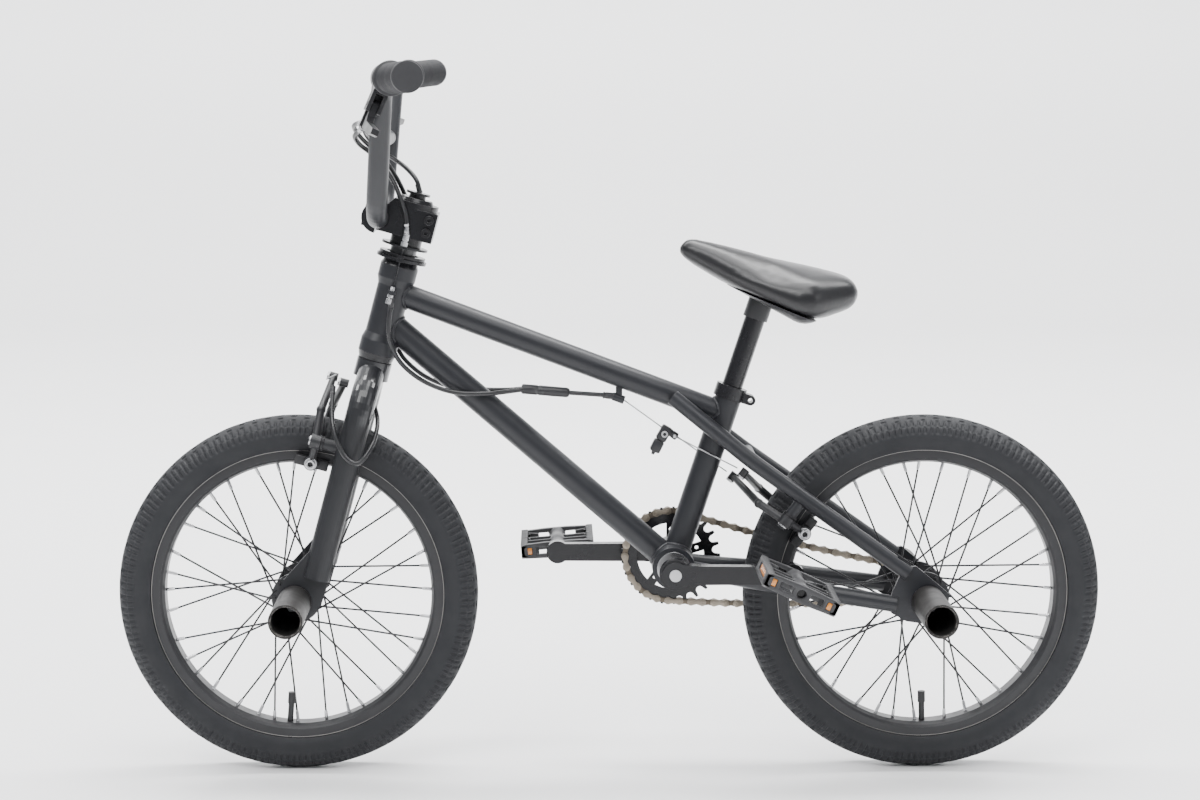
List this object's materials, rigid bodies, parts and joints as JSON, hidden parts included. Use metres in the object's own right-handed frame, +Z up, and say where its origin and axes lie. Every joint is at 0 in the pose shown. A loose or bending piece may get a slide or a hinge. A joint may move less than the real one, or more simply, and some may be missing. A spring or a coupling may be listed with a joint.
{
  "type": "freestyle bicycle",
  "caption": "Child's black freestyle bicycle with stunt pegs, a brake cable rotor and a low padded saddle.",
  "frame": {"origin": "on the floor midway between the axles in the wheels' plane, at the centre of the bounding box's base", "axes": "+X runs to the rear, -Y is the rider's left, +Y is the drive side and +Z is up"},
  "size_m": [1.069, 0.5858, 0.7705],
  "materials": {
    "frame_paint": "satin black paint",
    "gloss_black_metal": "gloss black",
    "satin_black_alloy": "satin black anodised",
    "bright_steel": "zinc plated",
    "black_steel_wire": "black oxide",
    "tyre_rubber": "matt moulded rubber",
    "tube_rubber": "matt",
    "peg_steel": "grey phosphate, worn",
    "chain_nickel": "dull nickel",
    "grip_rubber": "matt ribbed rubber",
    "cable_housing": "satin plastic",
    "pedal_plastic": "moulded plastic",
    "saddle_shell": "moulded plastic",
    "saddle_vinyl": "glossy vinyl"
  },
  "bodies": {
    "frame": {"head_tube": "frame_paint", "top_tube": "frame_paint", "down_tube": "frame_paint", "seat_tube": "frame_paint", "bottom_bracket_shell": "frame_paint", "chainstays": "frame_paint", "seatstays": "frame_paint", "seat_clamp": "gloss_black_metal", "headset_cups": "gloss_black_metal", "headset_bearings": "bright_steel", "bottom_bracket_bearings": "bright_steel", "rear_brake_cable": "cable_housing", "rear_brake_hanger": "cable_housing", "rear_axle": "bright_steel", "rear_axle_nuts": "bright_steel", "rear_pegs": "peg_steel", "chain": "chain_nickel"},
    "steering": {"fork": "gloss_black_metal", "stem": "gloss_black_metal", "stem_faceplate": "gloss_black_metal", "stem_bolts": "bright_steel", "stem_top_bolt": "gloss_black_metal", "handlebar": "satin_black_alloy", "grips": "grip_rubber", "lever_brackets": "satin_black_alloy", "rotor_upper_plate": "gloss_black_metal", "rotor_upper_cables": "cable_housing", "front_brake_cable": "cable_housing", "front_axle": "bright_steel", "front_axle_nuts": "bright_steel", "front_pegs": "peg_steel"},
    "rotor_upper": {"rotor_upper_ring": "gloss_black_metal"},
    "rotor_lower": {"rotor_lower_ring": "gloss_black_metal"},
    "lever_left": {"brake_lever_left": "satin_black_alloy"},
    "lever_right": {"brake_lever_right": "satin_black_alloy"},
    "front_arm_left": {"front_brake_arm_left": "satin_black_alloy"},
    "front_arm_right": {"front_brake_arm_right": "satin_black_alloy"},
    "rear_arm_left": {"rear_brake_arm_left": "satin_black_alloy"},
    "rear_arm_right": {"rear_brake_arm_right": "satin_black_alloy"},
    "front_wheel": {"front_tyre": "tyre_rubber", "front_inner_tube": "tube_rubber", "front_rim": "satin_black_alloy", "front_spokes": "black_steel_wire", "front_hub": "satin_black_alloy", "front_hub_bearings": "bright_steel"},
    "rear_wheel": {"rear_tyre": "tyre_rubber", "rear_inner_tube": "tube_rubber", "rear_rim": "satin_black_alloy", "rear_spokes": "black_steel_wire", "rear_hub": "satin_black_alloy", "rear_hub_bearings": "bright_steel"},
    "driver": {"driver_sprocket": "bright_steel"},
    "crank": {"crank_spindle": "bright_steel", "crank_arms": "gloss_black_metal", "chainring": "gloss_black_metal"},
    "pedal_left": {"pedal_left": "pedal_plastic"},
    "pedal_right": {"pedal_right": "pedal_plastic"},
    "seat": {"seat_post": "gloss_black_metal", "saddle_base": "saddle_shell", "saddle_cover": "saddle_vinyl"}
  },
  "joints": [
    {"name": "steering", "type": "hinge", "parent": "frame", "child": "steering", "pos_m": [-0.32405, 0, 0.19086], "axis": [0.2588, 0, 0.9659], "continuous": true},
    {"name": "front_wheel_spin", "type": "hinge", "parent": "steering", "child": "front_wheel", "pos_m": [-0.3395, 0, 0.195], "axis": [0, 1, 0], "continuous": true},
    {"name": "rear_wheel_spin", "type": "hinge", "parent": "frame", "child": "rear_wheel", "pos_m": [0.3395, 0, 0.195], "axis": [0, 1, 0], "continuous": true},
    {"name": "crank_spin", "type": "hinge", "parent": "frame", "child": "crank", "pos_m": [0.0675, 0, 0.2265], "axis": [0, 1, 0], "continuous": true, "deforming": ["chain"]},
    {"name": "driver_spin", "type": "hinge", "parent": "frame", "child": "driver", "pos_m": [0.3395, 0, 0.195], "axis": [0, 1, 0], "continuous": true},
    {"name": "pedal_left_spin", "type": "hinge", "parent": "crank", "child": "pedal_left", "pos_m": [0.1925, -0.1, 0.2265], "axis": [0, 1, 0], "continuous": true},
    {"name": "pedal_right_spin", "type": "hinge", "parent": "crank", "child": "pedal_right", "pos_m": [-0.0575, 0.1, 0.2265], "axis": [0, 1, 0], "continuous": true},
    {"name": "seat_height", "type": "slide", "parent": "frame", "child": "seat", "axis": [0.3107, 0, 0.9505], "range_m": [-0.05, 0.04]},
    {"name": "lever_left_pull", "type": "hinge", "parent": "steering", "child": "lever_left", "pos_m": [-0.24366, -0.13726, 0.7242], "axis": [-0.901, -0.1649, 0.4012], "range_deg": [0, 12], "stiffness_Nm_per_rad": 1.5},
    {"name": "lever_right_pull", "type": "hinge", "parent": "steering", "child": "lever_right", "pos_m": [-0.24366, 0.13726, 0.7242], "axis": [0.901, -0.1649, -0.4012], "range_deg": [0, 12], "stiffness_Nm_per_rad": 1.5},
    {"name": "front_arm_left_close", "type": "hinge", "parent": "steering", "child": "front_arm_left", "pos_m": [-0.31527, -0.043, 0.36657], "axis": [0.9659, 0, -0.2588], "range_deg": [0, 2.4]},
    {"name": "front_arm_right_close", "type": "hinge", "parent": "steering", "child": "front_arm_right", "pos_m": [-0.31527, 0.043, 0.36657], "axis": [-0.9659, 0, 0.2588], "range_deg": [0, 2.4]},
    {"name": "rear_arm_left_close", "type": "hinge", "parent": "frame", "child": "rear_arm_left", "pos_m": [0.18753, -0.043, 0.28085], "axis": [0.6018, 0, 0.7986], "range_deg": [0, 2.4]},
    {"name": "rear_arm_right_close", "type": "hinge", "parent": "frame", "child": "rear_arm_right", "pos_m": [0.18753, 0.043, 0.28085], "axis": [-0.6018, 0, -0.7986], "range_deg": [0, 2.4]},
    {"name": "rotor_upper_slide", "type": "slide", "parent": "steering", "child": "rotor_upper", "axis": [0.2588, 0, 0.9659], "range_m": [0, 0.0065]},
    {"name": "rotor_lower_slide", "type": "slide", "parent": "frame", "child": "rotor_lower", "axis": [0.2588, 0, 0.9659], "range_m": [0, 0.0065]}
  ],
  "couplings": [
    {"joint": "driver_spin", "follows": "crank_spin", "ratio": 2.7778},
    {"joint": "front_arm_left_close", "follows": "lever_right_pull", "ratio": 0.2},
    {"joint": "front_arm_right_close", "follows": "lever_right_pull", "ratio": 0.2},
    {"joint": "rear_arm_left_close", "follows": "lever_left_pull", "ratio": 0.2},
    {"joint": "rear_arm_right_close", "follows": "lever_left_pull", "ratio": 0.2},
    {"joint": "rotor_upper_slide", "follows": "lever_left_pull", "m_per_rad": 0.028638},
    {"joint": "rotor_lower_slide", "follows": "lever_left_pull", "m_per_rad": 0.028638}
  ]
}
